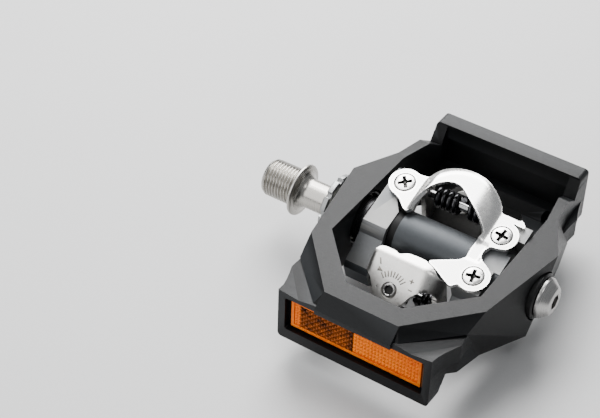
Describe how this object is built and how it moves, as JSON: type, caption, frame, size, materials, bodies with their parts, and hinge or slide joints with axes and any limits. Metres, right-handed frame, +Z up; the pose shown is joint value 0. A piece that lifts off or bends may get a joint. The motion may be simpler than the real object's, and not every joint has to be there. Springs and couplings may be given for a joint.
{
  "type": "clipless pedal",
  "caption": "Double-sided clipless pedal with a sprung, tilting resin cage, front hoops, spring-loaded rear claws and amber reflectors on a threaded spindle.",
  "frame": {"origin": "on the spindle axis at the face of the shoulder flange that seats on the crank", "axes": "+X along the spindle away from the crank, +Y forward with the cage level, +Z up"},
  "size_m": [0.1185, 0.1152, 0.0434],
  "materials": {
    "spindle_steel": "fine turned stainless, satin",
    "bearing_steel": "ground and polished",
    "body_casting": "cast alloy, satin anthracite paint",
    "tube_steel": "drawn steel, black oxide",
    "bush_resin": "acetal, matte",
    "sleeve_metal": "bead-blasted grey",
    "seal_rubber": "black nitrile, matte",
    "plate_nickel": "stamped steel, satin nickel plate",
    "screw_steel": "satin nickel plate",
    "claw_steel": "forged steel, satin nickel",
    "pin_steel": "ground steel",
    "spring_black": "black oxide, oiled",
    "bolt_steel": "satin stainless",
    "cage_resin": "moulded resin, fine spark texture",
    "washer_black": "black nylon",
    "reflector_amber": "amber prismatic lens",
    "reflector_backing": "amber-brown backing plate"
  },
  "bodies": {
    "spindle": {"spindle": "spindle_steel", "bearing_cone": "bearing_steel", "cone_lock_nut": "bearing_steel", "balls_inner": "bearing_steel", "balls_outer": "bearing_steel"},
    "mechanism": {"mechanism_body": "body_casting", "bearing_tube": "tube_steel", "inboard_bush": "bush_resin", "bearing_cup": "bearing_steel", "lock_sleeve": "sleeve_metal", "dust_seal": "seal_rubber", "binding_plate_top": "plate_nickel", "binding_plate_bottom": "plate_nickel", "binding_screws_top": "screw_steel", "binding_screws_bottom": "screw_steel", "claw_pin_top": "pin_steel", "claw_pin_bottom": "pin_steel", "claw_springs_top": "spring_black", "claw_springs_bottom": "spring_black", "popup_spring": "spring_black", "cage_pivot_bolt": "bolt_steel", "pivot_washer": "washer_black"},
    "rear_claw_top": {"rear_claw_top": "claw_steel"},
    "rear_claw_bottom": {"rear_claw_bottom": "claw_steel"},
    "tension_bolt_top": {"tension_bolt_top": "bolt_steel"},
    "tension_bolt_bottom": {"tension_bolt_bottom": "bolt_steel"},
    "tension_plate_top": {"tension_plate_top": "spring_black"},
    "tension_plate_bottom": {"tension_plate_bottom": "spring_black"},
    "cage": {"cage": "cage_resin", "cage_bush_inboard": "bush_resin", "cage_bush_outboard": "bush_resin", "reflector_front": "reflector_amber", "reflector_rear": "reflector_amber", "reflector_back_front": "reflector_backing", "reflector_back_rear": "reflector_backing"}
  },
  "joints": [
    {"name": "spindle_spin", "type": "hinge", "parent": "spindle", "child": "mechanism", "pos_m": [0.058, 0, 0], "axis": [1, 0, 0], "continuous": true},
    {"name": "cage_tilt", "type": "hinge", "parent": "mechanism", "child": "cage", "pos_m": [0.058, 0, 0], "axis": [1, 0, 0], "range_deg": [0, 17.5], "stiffness_Nm_per_rad": 0.6, "springref_deg": -20.05},
    {"name": "claw_top_open", "type": "hinge", "parent": "mechanism", "child": "rear_claw_top", "pos_m": [0.058, -0.01602, -0.00904], "axis": [1, 0, 0], "range_deg": [0, 12], "stiffness_Nm_per_rad": 2, "springref_deg": -20.05},
    {"name": "tension_top_travel", "type": "slide", "parent": "rear_claw_top", "child": "tension_plate_top", "axis": [0, -0.7604, 0.6494], "range_m": [0, 0.00139]},
    {"name": "tension_top_turn", "type": "hinge", "parent": "rear_claw_top", "child": "tension_bolt_top", "pos_m": [0.054, -0.0265, -0.00143], "axis": [0, -0.7604, 0.6494], "range_deg": [0, 720]},
    {"name": "claw_bottom_open", "type": "hinge", "parent": "mechanism", "child": "rear_claw_bottom", "pos_m": [0.058, 0.01602, 0.00904], "axis": [1, 0, 0], "range_deg": [0, 12], "stiffness_Nm_per_rad": 2, "springref_deg": -20.05},
    {"name": "tension_bottom_travel", "type": "slide", "parent": "rear_claw_bottom", "child": "tension_plate_bottom", "axis": [0, 0.7604, -0.6494], "range_m": [0, 0.00139]},
    {"name": "tension_bottom_turn", "type": "hinge", "parent": "rear_claw_bottom", "child": "tension_bolt_bottom", "pos_m": [0.054, 0.0265, 0.00143], "axis": [0, 0.7604, -0.6494], "range_deg": [0, 720]}
  ],
  "couplings": [
    {"joint": "tension_top_turn", "follows": "tension_top_travel", "rad_per_m": 8976},
    {"joint": "tension_bottom_turn", "follows": "tension_bottom_travel", "rad_per_m": 8976}
  ]
}
